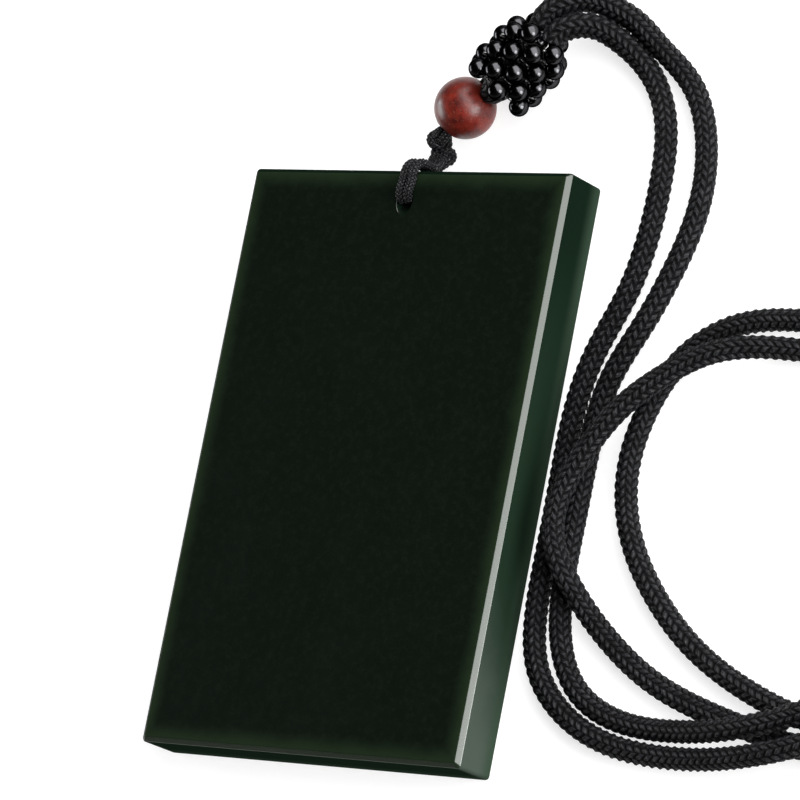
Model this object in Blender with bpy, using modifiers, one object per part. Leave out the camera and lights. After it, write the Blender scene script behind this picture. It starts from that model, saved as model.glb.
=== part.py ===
"""Jade tablet pendant on a braided neck cord, lying on its back on a flat surface.

Metres, +Z up. The origin is the centre of the tablet's back face, which lies on the surface
at z = 0. +Y runs along the tablet towards its hole and +X to its right, seen from the front.
"""
import math

import bmesh
import bpy
import numpy as np
from mathutils import Matrix, Vector

OBJECT_NAME = "jade_tablet_pendant"

# Tablet, a plain slab with bevelled edges
TABLET_LENGTH = 0.060
TABLET_WIDTH = 0.0393
TABLET_THICKNESS = 0.0057
FRONT_CHAMFER = 0.0005
BACK_CHAMFER = 0.00025
CORNER_ROUNDING = 0.0004
CORNER_STEPS = 3

# Stringing hole, drilled at a slant from the front face out through the top end
HOLE_DIAMETER = 0.0019
HOLE_FROM_TOP = 0.00325
HOLE_OFFSET_X = 0.0001
HOLE_SLANT = math.radians(39.0)
HOLE_SIDES = 24

# Thin cord, doubled through the hole, tied in two knots and led on into the wooden bead
THIN_CORD_DIAMETER = 0.00095
THIN_CORD_PRESS = 0.98
PINCH_IN_HOLE = 0.80
CORD_CLEARANCE = 0.00012
LOOP_TILT_X = 0.0006
LOOP_STEP = 0.0004
KNOT_RADIUS = 0.00133
KNOT_FLATNESS = 0.92
KNOT_DISTANCE = 0.0027
KNOT_SPACING = 0.00177
KNOT_RISE = 0.00097
KNOT_CLEARANCE = 0.0001
STEM_DIAMETER = 0.0015
PIECE_GAP = 0.0003

# Wooden bead
WOOD_BEAD_DIAMETER = 0.0063
WOOD_BEAD_BORE = 0.0018
WOOD_BEAD_OFFSET_X = 0.00343
WOOD_BEAD_FROM_TABLET = 0.00414
WOOD_BORE_TURN = math.radians(56.0)
WOOD_BORE_TILT = math.radians(-5.0)
WOOD_BEAD_SIDES = 24
WOOD_BEAD_ARC_STEPS = 12

# Woven cluster of small beads round the joint of the neck cord
SMALL_BEAD_DIAMETER = 0.0020
SMALL_BEAD_BORE = 0.0006
SMALL_BEAD_SIDES = 10
SMALL_BEAD_ARC_STEPS = 5
BEADS_PER_RING = 6
RING_COUNT = 6
RING_RADIUS = 0.0032
RING_PITCH = 0.00129
RING_START_ANGLE = math.radians(108.0)
END_RING_GAPS = (1, 4)
CLUSTER_BEARING = math.radians(34.34)
CLUSTER_FROM_WOOD_BEAD = 0.0007
CLUSTER_TURN = math.radians(47.6)
JOINT_TAPER = 0.0006
JOINT_NECK_DIAMETER = 0.0011
JOINT_BEND = (0.00277, 0.00266, 0.0002)

# Neck cord, a round braid lying in loops
NECK_CORD_DIAMETER = 0.0022
NECK_CORD_POINTS = 84
NECK_CORD_BEND_SHARE = 0.006
NECK_CORD_END_STEP = 0.0016
NECK_CORD_ROUTE = [
    (0.0116, 0.0452, 0.0042), (0.0119, 0.0465, 0.0042), (0.0136, 0.0481, 0.0037), (0.0158, 0.0488, 0.0027),
    (0.0183, 0.0482, 0.0018), (0.0209, 0.0469, 0.0013), (0.0240, 0.0445, 0.0011),
    (0.0290, 0.0402, 0.0011), (0.0317, 0.0345, 0.0011), (0.0322, 0.0280, 0.0011),
    (0.0307, 0.0218, 0.0011), (0.0283, 0.0160, 0.0011), (0.0257, 0.0105, 0.0011),
    (0.0247, 0.0044, 0.0011), (0.0246, -0.0026, 0.0011), (0.0246, -0.0096, 0.0011),
    (0.0255, -0.0156, 0.0011), (0.0284, -0.0205, 0.0011), (0.0339, -0.0233, 0.0011),
    (0.0402, -0.0240, 0.0017), (0.0448, -0.0240, 0.0029), (0.0492, -0.0235, 0.0036),
    (0.0552, -0.0218, 0.0036), (0.0606, -0.0190, 0.0033), (0.0650, -0.0144, 0.0019),
    (0.0675, -0.0089, 0.0011), (0.0679, -0.0020, 0.0011), (0.0652, 0.0044, 0.0011),
    (0.0600, 0.0098, 0.0011), (0.0534, 0.0130, 0.0011), (0.0466, 0.0139, 0.0014),
    (0.0424, 0.0137, 0.0026), (0.0386, 0.0128, 0.0035), (0.0340, 0.0106, 0.0036),
    (0.0292, 0.0069, 0.0036), (0.0258, 0.0021, 0.0036), (0.0240, -0.0024, 0.0036),
    (0.0242, -0.0062, 0.0036), (0.0260, -0.0097, 0.0031), (0.0281, -0.0127, 0.0017),
    (0.0315, -0.0158, 0.0011), (0.0375, -0.0195, 0.0011), (0.0445, -0.0220, 0.0011),
    (0.0516, -0.0238, 0.0011), (0.0586, -0.0250, 0.0011), (0.0654, -0.0244, 0.0011),
    (0.0712, -0.0208, 0.0011), (0.0752, -0.0152, 0.0011), (0.0774, -0.0086, 0.0011),
    (0.0791, -0.0020, 0.0011), (0.0818, 0.0034, 0.0011), (0.0824, 0.0086, 0.0011),
    (0.0794, 0.0128, 0.0011), (0.0748, 0.0128, 0.0011), (0.0719, 0.0088, 0.0011),
    (0.0727, 0.0034, 0.0011), (0.0743, -0.0024, 0.0011), (0.0744, -0.0088, 0.0011),
    (0.0722, -0.0148, 0.0011), (0.0682, -0.0196, 0.0011), (0.0622, -0.0223, 0.0011),
    (0.0550, -0.0218, 0.0011), (0.0478, -0.0194, 0.0011), (0.0411, -0.0158, 0.0011),
    (0.0355, -0.0109, 0.0011), (0.0315, -0.0053, 0.0011), (0.0297, 0.0010, 0.0011),
    (0.0307, 0.0076, 0.0011), (0.0339, 0.0130, 0.0011), (0.0392, 0.0162, 0.0011),
    (0.0460, 0.0169, 0.0011), (0.0538, 0.0160, 0.0011), (0.0614, 0.0126, 0.0011),
    (0.0672, 0.0070, 0.0011), (0.0704, -0.0004, 0.0011), (0.0704, -0.0086, 0.0011),
    (0.0679, -0.0155, 0.0017), (0.0638, -0.0204, 0.0031), (0.0580, -0.0240, 0.0036),
    (0.0516, -0.0259, 0.0035), (0.0456, -0.0265, 0.0022), (0.0404, -0.0265, 0.0013),
    (0.0340, -0.0258, 0.0011), (0.0277, -0.0232, 0.0011), (0.0234, -0.0186, 0.0011),
    (0.0221, -0.0133, 0.0011), (0.0220, -0.0066, 0.0011), (0.0220, 0.0000, 0.0011),
    (0.0221, 0.0068, 0.0011), (0.0233, 0.0130, 0.0011), (0.0257, 0.0190, 0.0011),
    (0.0269, 0.0246, 0.0011), (0.0272, 0.0306, 0.0011), (0.0266, 0.0361, 0.0011),
    (0.0246, 0.0404, 0.0011), (0.0213, 0.0437, 0.0013), (0.0190, 0.0452, 0.0018),
    (0.0169, 0.0460, 0.0027), (0.0151, 0.0457, 0.0037), (0.0137, 0.0447, 0.0042),
    (0.0132, 0.0437, 0.0042),
]

UP = Vector((0.0, 0.0, 1.0))


def clear_scene():
    for thing in list(bpy.data.objects):
        bpy.data.objects.remove(thing, do_unlink=True)


def new_collection(name):
    group = bpy.data.collections.new(name)
    bpy.context.scene.collection.children.link(group)
    return group


def make_material(name, colour, roughness, metallic=0.0):
    material = bpy.data.materials.new(name)
    material.use_nodes = True
    shader = material.node_tree.nodes["Principled BSDF"]
    shader.inputs["Base Color"].default_value = (*colour, 1.0)
    shader.inputs["Roughness"].default_value = roughness
    shader.inputs["Metallic"].default_value = metallic
    return material


def add_mesh_object(name, mesh, group, material=None):
    thing = bpy.data.objects.new(name, mesh)
    group.objects.link(thing)
    if material and not mesh.materials:
        mesh.materials.append(material)
    return thing


def mark_as_cutter(thing):
    thing.hide_render = True
    thing.display_type = "WIRE"


def boolean(target, operand, operation):
    modifier = target.modifiers.new(operation.title(), "BOOLEAN")
    modifier.operation = operation
    modifier.object = operand
    modifier.solver = "EXACT"
    modifier.use_self = operation == "UNION"


def unit(turn, tilt):
    """Direction at an angle round +Z from +X, raised above the surface by a tilt."""
    flat = math.cos(tilt)
    return Vector((flat * math.cos(turn), flat * math.sin(turn), math.sin(tilt)))


def smooth_curve(points):
    """A natural cubic spline through points, as a function of length along the chords."""
    knots = np.array(points, float)
    chords = np.linalg.norm(np.diff(knots, axis=0), axis=1)
    along = np.concatenate(([0.0], np.cumsum(chords)))
    count = len(knots)
    matrix = np.eye(count)
    right = np.zeros_like(knots)
    for i in range(1, count - 1):
        before, after = chords[i - 1], chords[i]
        matrix[i, i - 1:i + 2] = before, 2.0 * (before + after), after
        slope_after = (knots[i + 1] - knots[i]) / after
        slope_before = (knots[i] - knots[i - 1]) / before
        right[i] = 6.0 * (slope_after - slope_before)
    bend = np.linalg.solve(matrix, right)

    def at(distance):
        i = min(int(np.searchsorted(along, distance, side="right")) - 1, count - 2)
        span = chords[i]
        left, rest = distance - along[i], along[i + 1] - distance
        curved = (bend[i] * rest ** 3 + bend[i + 1] * left ** 3) / (6.0 * span)
        start = (knots[i] / span - bend[i] * span / 6.0) * rest
        end = (knots[i + 1] / span - bend[i + 1] * span / 6.0) * left
        return curved + start + end

    return at, float(along[-1])


def spaced_points(points, spacing):
    at, length = smooth_curve(points)
    steps = max(2, round(length / spacing))
    return [at(length * i / steps) for i in range(steps + 1)]


def bend_spaced_points(points, count, bend_share, end_step):
    """Points along a curve that crowd together in its bends, with one close to each end."""
    at, length = smooth_curve(points)
    fine = np.linspace(0.0, length, 40 * count)
    places = np.array([at(s) for s in fine])
    runs = np.diff(places, axis=0)
    steps = np.linalg.norm(runs, axis=1)
    ways = runs / steps[:, None]
    turns = np.arccos(np.clip((ways[1:] * ways[:-1]).sum(axis=1), -1.0, 1.0))
    turns = np.concatenate(([0.0], turns))
    weight = np.concatenate(([0.0], np.cumsum(steps + bend_share * turns)))
    stations = np.interp(np.linspace(0.0, weight[-1], count - 2), weight, fine)
    stations = sorted([*stations, end_step, length - end_step])
    return [at(s) for s in stations]


def make_tube(name, points, radius, group, material=None, scales=None, sides=2):
    """A round tube along points, each with its own share of the radius."""
    curve = bpy.data.curves.new(name, "CURVE")
    curve.dimensions = "3D"
    curve.bevel_depth = radius
    curve.bevel_resolution = sides
    curve.use_fill_caps = True
    spline = curve.splines.new("POLY")
    spline.points.add(len(points) - 1)
    for i, place in enumerate(points):
        spline.points[i].co = (*place, 1.0)
        spline.points[i].radius = scales[i] if scales else 1.0
    spline.use_smooth = True
    thing = bpy.data.objects.new(name, curve)
    group.objects.link(thing)
    if material:
        curve.materials.append(material)
    return thing


def tube_to_mesh(tube, group):
    """Turn a tube into a closed mesh object that can take Booleans."""
    name = tube.name
    graph = bpy.context.evaluated_depsgraph_get()
    mesh = bpy.data.meshes.new_from_object(tube.evaluated_get(graph))
    form = bmesh.new()
    form.from_mesh(mesh)
    bmesh.ops.remove_doubles(form, verts=form.verts, dist=1e-6)
    bmesh.ops.recalc_face_normals(form, faces=form.faces)
    form.to_mesh(mesh)
    form.free()
    place = tube.matrix_world.copy()
    bpy.data.objects.remove(tube, do_unlink=True)
    thing = add_mesh_object(name, mesh, group)
    thing.name = name
    thing.matrix_world = place
    return thing


def turned_bead_mesh(name, diameter, bore, arc_steps, material):
    """Profile of a round bead with a straight bore, to be turned about its own Z."""
    radius = diameter / 2.0
    rim = math.acos(bore / diameter)
    angles = [rim - 2.0 * rim * i / arc_steps for i in range(arc_steps + 1)]
    verts = [(radius * math.cos(a), 0.0, radius * math.sin(a)) for a in angles]
    edges = [(i, (i + 1) % len(verts)) for i in range(len(verts))]
    mesh = bpy.data.meshes.new(name)
    mesh.from_pydata(verts, edges, [])
    mesh.materials.append(material)
    return mesh


def place_bead(name, mesh, sides, centre, bore_direction, group):
    thing = add_mesh_object(name, mesh, group)
    turn = thing.modifiers.new("Turn", "SCREW")
    turn.angle = math.tau
    turn.axis = "Z"
    turn.steps = sides
    turn.render_steps = sides
    turn.use_smooth_shade = True
    turn.use_merge_vertices = False
    turn.merge_threshold = 0.00001
    thing.location = centre
    thing.rotation_euler = bore_direction.to_track_quat("Z", "Y").to_euler()
    return thing


def bevel_edges(form, edges, width, steps):
    bmesh.ops.bevel(
        form, geom=edges, offset=width, offset_type="OFFSET", segments=steps,
        profile=0.5, affect="EDGES", clamp_overlap=True,
    )


def make_tablet(group, cutters, material):
    """Slab with rounded corners, a clear front chamfer and a softened back edge."""
    form = bmesh.new()
    bmesh.ops.create_cube(form, size=1.0)
    size = Vector((TABLET_WIDTH, TABLET_LENGTH, TABLET_THICKNESS))
    bmesh.ops.scale(form, vec=size, verts=form.verts)
    bmesh.ops.translate(form, vec=(0.0, 0.0, TABLET_THICKNESS / 2.0), verts=form.verts)
    upright = [e for e in form.edges if abs(e.verts[0].co.z - e.verts[1].co.z) > 1e-6]
    bevel_edges(form, upright, CORNER_ROUNDING, CORNER_STEPS)
    for height, width in ((TABLET_THICKNESS, FRONT_CHAMFER), (0.0, BACK_CHAMFER)):
        rim = [e for e in form.edges if all(abs(v.co.z - height) < 1e-7 for v in e.verts)]
        bevel_edges(form, rim, width, 1)
    mesh = bpy.data.meshes.new("jade_tablet")
    form.to_mesh(mesh)
    form.free()
    tablet = add_mesh_object("jade_tablet", mesh, group, material)

    drill_mesh = bpy.data.meshes.new("stringing_hole")
    form = bmesh.new()
    bmesh.ops.create_cone(
        form, cap_ends=True, segments=HOLE_SIDES, radius1=HOLE_DIAMETER / 2.0,
        radius2=HOLE_DIAMETER / 2.0, depth=2.0 * hole_length(),
    )
    form.to_mesh(drill_mesh)
    form.free()
    drill = add_mesh_object("stringing_hole", drill_mesh, cutters)
    mark_as_cutter(drill)
    drill.location = hole_mouth() + hole_direction() * hole_length() / 2.0
    drill.rotation_euler = hole_direction().to_track_quat("Z", "X").to_euler()
    boolean(tablet, drill, "DIFFERENCE")
    return tablet


def hole_direction():
    """From the front face inwards and up to the top end."""
    return Vector((0.0, math.cos(HOLE_SLANT), -math.sin(HOLE_SLANT)))


def hole_mouth():
    """Centre of the hole in the front face."""
    return Vector((HOLE_OFFSET_X, TABLET_LENGTH / 2.0 - HOLE_FROM_TOP, TABLET_THICKNESS))


def hole_length():
    """From the mouth to the top end, along the drilling."""
    return HOLE_FROM_TOP / math.cos(HOLE_SLANT)


def lower_knot_centre():
    return Vector((
        HOLE_OFFSET_X + LOOP_TILT_X - 0.2 * THIN_CORD_DIAMETER,
        TABLET_LENGTH / 2.0 + KNOT_DISTANCE,
        KNOT_RADIUS + KNOT_CLEARANCE,
    ))


def upper_knot_centre():
    along = math.sqrt(KNOT_SPACING ** 2 - KNOT_RISE ** 2)
    return lower_knot_centre() + Vector((0.0, along, KNOT_RISE))


def wood_bead_centre():
    radius = WOOD_BEAD_DIAMETER / 2.0
    return Vector((
        WOOD_BEAD_OFFSET_X, TABLET_LENGTH / 2.0 + WOOD_BEAD_FROM_TABLET + radius, radius,
    ))


def loop_route():
    """Middle of the doubled cord and its pinch, from the knot over the top edge, in at the
    hole, out at the top end and back to the knot."""
    mouth, inward, knot = hole_mouth(), hole_direction(), lower_knot_centre()
    radius = THIN_CORD_DIAMETER / 2.0
    front = TABLET_THICKNESS + radius + CORD_CLEARANCE
    top = TABLET_LENGTH / 2.0
    lean = HOLE_OFFSET_X + LOOP_TILT_X
    leaving = mouth + inward * (hole_length() + 2.4 * radius)
    turn_y = mouth.y + 1.25 * radius
    return [
        ((knot.x, knot.y - 0.8 * radius, knot.z + 1.6 * radius), 1.0),
        ((lean + 0.3 * radius, top + 2.9 * radius, 0.72 * front), 1.0),
        ((lean, top + 1.6 * radius, front - 1.0 * radius), 1.0),
        ((lean - 0.3 * radius, top - 0.4 * radius, front + 0.25 * radius), 1.0),
        ((HOLE_OFFSET_X + 0.7 * radius, top - 2.8 * radius, front), 1.0),
        ((HOLE_OFFSET_X + 0.4 * radius, mouth.y + 2.9 * radius, front), 0.95),
        ((HOLE_OFFSET_X, turn_y, TABLET_THICKNESS - 0.1 * radius), PINCH_IN_HOLE),
        (tuple(mouth + inward * 0.42 * hole_length()), PINCH_IN_HOLE),
        (tuple(mouth + inward * 0.75 * hole_length()), PINCH_IN_HOLE),
        (tuple(mouth + inward * hole_length()), PINCH_IN_HOLE),
        (tuple(leaving), 0.95),
        ((knot.x, knot.y - 1.6 * radius, knot.z + 0.2 * radius), 1.0),
    ]


def make_knot(name, centre, lean, cutters):
    """A tied knot as two crossing turns of the cord round a small core."""
    thick = THIN_CORD_DIAMETER / 2.0
    turn_radius = KNOT_RADIUS - thick
    parts = []
    for i, (turn, tilt) in enumerate(((lean, 70.0), (lean + 75.0, 55.0))):
        bpy.ops.mesh.primitive_torus_add(
            major_radius=turn_radius, minor_radius=thick, major_segments=14, minor_segments=8,
        )
        ring = bpy.context.object
        ring.name = f"{name}_turn_{i + 1}"
        ring.rotation_euler = (math.radians(tilt), 0.0, math.radians(turn))
        parts.append(ring)
    bpy.ops.mesh.primitive_uv_sphere_add(segments=12, ring_count=8, radius=turn_radius)
    core = bpy.context.object
    core.name = f"{name}_core"
    core.scale.z = KNOT_FLATNESS
    parts.append(core)
    for part in parts:
        part.location = centre
        for group in list(part.users_collection):
            group.objects.unlink(part)
        cutters.objects.link(part)
        mark_as_cutter(part)
    return parts


def make_bail_cord(group, cutters, material):
    """Doubled loop, both knots and the stem into the wooden bead, fused into one solid."""
    route = loop_route()
    half_pair = THIN_CORD_PRESS * THIN_CORD_DIAMETER / 2.0
    wide = [(*place, pinch) for place, pinch in route]
    samples = spaced_points_with_pinch(wide, LOOP_STEP)
    strands = []
    for side in (-1.0, 1.0):
        points = [(x + side * half_pair * pinch, y, z) for x, y, z, pinch in samples]
        scales = [pinch for _, _, _, pinch in samples]
        tube = make_tube(
            f"loop_strand_{'left' if side < 0 else 'right'}", points,
            THIN_CORD_DIAMETER / 2.0, group, scales=scales,
        )
        strands.append(tube_to_mesh(tube, group))

    bore = unit(WOOD_BORE_TURN, WOOD_BORE_TILT)
    bead = wood_bead_centre()
    knot = upper_knot_centre()
    entry = bead - bore * WOOD_BEAD_DIAMETER / 2.0
    stem_points = spaced_points([
        tuple(knot),
        tuple(knot.lerp(entry, 0.6) - bore * STEM_DIAMETER / 3.0),
        tuple(entry),
        tuple(bead - bore * WOOD_BEAD_DIAMETER / 4.0),
        tuple(bead + bore * WOOD_BEAD_DIAMETER / 8.0),
    ], STEM_DIAMETER / 2.0)
    stem = make_tube("bead_stem", stem_points, STEM_DIAMETER / 2.0, cutters)
    stem = tube_to_mesh(stem, cutters)
    mark_as_cutter(stem)

    bail = strands[0]
    bail.name = "bail_cord"
    bail.data.materials.clear()
    bail.data.materials.append(material)
    other = strands[1]
    group.objects.unlink(other)
    cutters.objects.link(other)
    mark_as_cutter(other)
    joined = [other, stem]
    joined += make_knot("lower_knot", lower_knot_centre(), 20.0, cutters)
    joined += make_knot("upper_knot", upper_knot_centre(), 110.0, cutters)
    for part in joined:
        boolean(bail, part, "UNION")
    return bail


def spaced_points_with_pinch(points, spacing):
    """Like spaced_points, for points that carry a pinch as their fourth value."""
    places = [p[:3] for p in points]
    chords = np.linalg.norm(np.diff(np.array(places), axis=0), axis=1)
    along = np.concatenate(([0.0], np.cumsum(chords)))
    at, length = smooth_curve(places)
    steps = max(2, round(length / spacing))
    stations = [length * i / steps for i in range(steps + 1)]
    return [(*at(s), float(np.interp(s, along, [p[3] for p in points]))) for s in stations]


def make_wood_bead(group, material):
    mesh = turned_bead_mesh(
        "wooden_bead", WOOD_BEAD_DIAMETER, WOOD_BEAD_BORE, WOOD_BEAD_ARC_STEPS, material,
    )
    bore = unit(WOOD_BORE_TURN, WOOD_BORE_TILT)
    return place_bead("wooden_bead", mesh, WOOD_BEAD_SIDES, wood_bead_centre(), bore, group)


def cluster_centre():
    half_length = ring_offset(RING_COUNT - 1) + SMALL_BEAD_DIAMETER / 2.0
    distance = WOOD_BEAD_DIAMETER / 2.0 + CLUSTER_FROM_WOOD_BEAD + half_length
    centre = wood_bead_centre() + unit(CLUSTER_BEARING, 0.0) * distance
    centre.z = RING_RADIUS + SMALL_BEAD_DIAMETER / 2.0
    return centre


def ring_offset(ring):
    return (ring - (RING_COUNT - 1) / 2.0) * RING_PITCH


def make_bead_cluster(group, material):
    """Rings of small beads, each ring turned by half a bead from the last. The last ring leaves
    room for the two ends of the neck cord."""
    mesh = turned_bead_mesh(
        "small_bead", SMALL_BEAD_DIAMETER, SMALL_BEAD_BORE, SMALL_BEAD_ARC_STEPS, material,
    )
    axis = unit(CLUSTER_TURN, 0.0)
    side = axis.cross(UP)
    step = math.tau / BEADS_PER_RING
    for ring in range(RING_COUNT):
        for place in range(BEADS_PER_RING):
            if ring == RING_COUNT - 1 and place in END_RING_GAPS:
                continue
            angle = RING_START_ANGLE + step * (place - (ring % 2) / 2.0)
            outward = side * math.cos(angle) + UP * math.sin(angle)
            tangent = axis.cross(outward)
            centre = cluster_centre() + axis * ring_offset(ring) + outward * RING_RADIUS
            name = f"small_bead_{ring + 1}_{place + 1}"
            place_bead(name, mesh, SMALL_BEAD_SIDES, centre, tangent, group)


def make_cord_joint(group, material):
    """Bound ends of the neck cord inside the cluster, with a stem into the wooden bead."""
    core_radius = RING_RADIUS - SMALL_BEAD_DIAMETER / 2.0 - PIECE_GAP
    axis, middle = unit(CLUSTER_TURN, 0.0), cluster_centre()
    reach = ring_offset(RING_COUNT - 1)
    bore, bead = unit(WOOD_BORE_TURN, WOOD_BORE_TILT), wood_bead_centre()
    neck = JOINT_NECK_DIAMETER / 2.0 / core_radius
    stations = [
        (bead + bore * (WOOD_BEAD_DIAMETER / 8.0 + PIECE_GAP), neck),
        (bead + bore * WOOD_BEAD_DIAMETER / 3.0, neck),
        (bead + bore * (WOOD_BEAD_DIAMETER + PIECE_GAP) / 2.0, neck),
        (bead + Vector(JOINT_BEND), neck),
        (middle - axis * (reach + JOINT_TAPER), neck),
        (middle - axis * reach, 0.7),
        (middle - axis * (reach - JOINT_TAPER), 1.0),
        (middle, 1.0),
        (middle + axis * (reach - 2.0 * JOINT_TAPER), 1.0),
        (middle + axis * (reach - JOINT_TAPER), 0.9),
    ]
    points = [tuple(place) for place, _ in stations]
    scales = [share for _, share in stations]
    return make_tube(
        "neck_cord_joint", points, core_radius, group, material, scales=scales, sides=4,
    )


def make_neck_cord(group, material):
    radius = NECK_CORD_DIAMETER / 2.0
    points = bend_spaced_points(
        NECK_CORD_ROUTE, NECK_CORD_POINTS, NECK_CORD_BEND_SHARE, NECK_CORD_END_STEP,
    )
    points = [(x, y, max(z, radius)) for x, y, z in points]
    return make_tube("neck_cord", points, radius, group, material)


def build():
    clear_scene()
    parts = new_collection(OBJECT_NAME)
    cutters = new_collection("cutters")
    jade = make_material("dark_green_jade", (0.012, 0.030, 0.017), 0.28)
    cord = make_material("black_braided_cord", (0.012, 0.012, 0.014), 0.62)
    wood = make_material("red_sandalwood", (0.120, 0.016, 0.012), 0.34)
    glass = make_material("black_glass", (0.006, 0.006, 0.007), 0.10)
    make_tablet(parts, cutters, jade)
    make_bail_cord(parts, cutters, cord)
    make_wood_bead(parts, wood)
    make_bead_cluster(parts, glass)
    make_cord_joint(parts, cord)
    make_neck_cord(parts, cord)


build()
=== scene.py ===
"""Jade tablet pendant: a dark jade slab, a knotted bail cord, a wooden bead, a cluster of small
black beads and a long braided neck cord, laid on a pale surface."""

import math

import bmesh
import bpy
import numpy as np
from bpy.props import FloatProperty, FloatVectorProperty, IntProperty, PointerProperty
from mathutils import Matrix, Vector


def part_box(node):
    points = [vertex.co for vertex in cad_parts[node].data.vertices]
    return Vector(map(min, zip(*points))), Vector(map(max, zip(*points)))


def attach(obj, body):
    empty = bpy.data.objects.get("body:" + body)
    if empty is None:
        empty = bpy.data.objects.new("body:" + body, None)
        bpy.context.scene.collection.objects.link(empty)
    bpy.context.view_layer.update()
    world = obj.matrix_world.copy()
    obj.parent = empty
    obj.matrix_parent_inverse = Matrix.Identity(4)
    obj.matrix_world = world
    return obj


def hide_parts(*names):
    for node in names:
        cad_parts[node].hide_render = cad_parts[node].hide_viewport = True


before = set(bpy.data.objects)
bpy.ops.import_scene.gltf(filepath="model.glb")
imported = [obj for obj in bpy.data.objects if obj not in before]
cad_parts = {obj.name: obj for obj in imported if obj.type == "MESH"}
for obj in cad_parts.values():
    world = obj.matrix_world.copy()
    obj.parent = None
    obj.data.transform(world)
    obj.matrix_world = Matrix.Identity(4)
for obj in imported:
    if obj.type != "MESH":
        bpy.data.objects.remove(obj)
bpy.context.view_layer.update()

bl_info = {
    "name": "Jade Tablet Pendant",
    "version": (1, 0, 0),
    "blender": (4, 5, 0),
    "location": "View3D > Sidebar > Pendant",
    "description": "Builds a jade tablet pendant with its cords and beads, piece by piece",
    "category": "Object",
}

MM = 0.001
TABLET_LOW, TABLET_HIGH = (Vector(corner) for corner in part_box("jade_tablet"))
HALF_WIDTH = 0.5 * (TABLET_HIGH.x - TABLET_LOW.x)
HALF_LENGTH = 0.5 * (TABLET_HIGH.y - TABLET_LOW.y)
THICKNESS = TABLET_HIGH.z - TABLET_LOW.z
WOOD_LOW, WOOD_HIGH = (Vector(corner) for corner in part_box("wooden_bead"))
WOOD_CENTRE = 0.5 * (WOOD_LOW + WOOD_HIGH)
UP = Vector((0.0, 0.0, 1.0))


def way_of(turn, tilt):
    """A unit vector turned in the surface's plane from +X, then tilted up, in degrees."""
    turn, tilt = math.radians(turn), math.radians(tilt)
    flat = math.cos(tilt)
    return Vector((flat * math.cos(turn), flat * math.sin(turn), math.sin(tilt)))


# Ways of the wooden bead's bore and of the bead cluster's axis, as in their solids
WOOD_BORE_WAY = way_of(56.0, -5.0)
CLUSTER_WAY = way_of(47.6, 0.0)

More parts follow.
